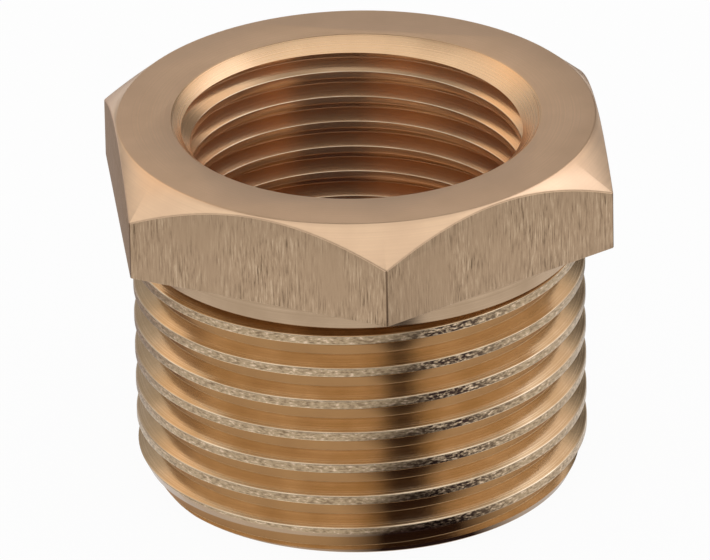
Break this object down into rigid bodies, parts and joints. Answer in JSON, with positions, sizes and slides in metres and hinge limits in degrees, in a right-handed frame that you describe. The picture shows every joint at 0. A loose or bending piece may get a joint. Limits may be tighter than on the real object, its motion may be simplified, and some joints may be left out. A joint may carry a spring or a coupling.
{
  "type": "hex bushing",
  "caption": "Hexagon-headed reducing bushing: female pipe thread bored through the head, larger male pipe thread on the shank.",
  "frame": {"origin": "centre of the male thread's end face, where the bushing stands", "axes": "+Z along the bore axis, up out of the hexagon head; one hexagon corner points along -Y, so the flats across X are square to X"},
  "size_m": [0.035, 0.0404, 0.0276],
  "materials": {
    "brass": "machined brass: dull turned top ring, brushed hexagon flats, bright corner chamfer, smooth golden thread grooves with torn grey-olive crests"
  },
  "bodies": {
    "root": {"bushing_body": "brass"}
  },
  "joints": []
}
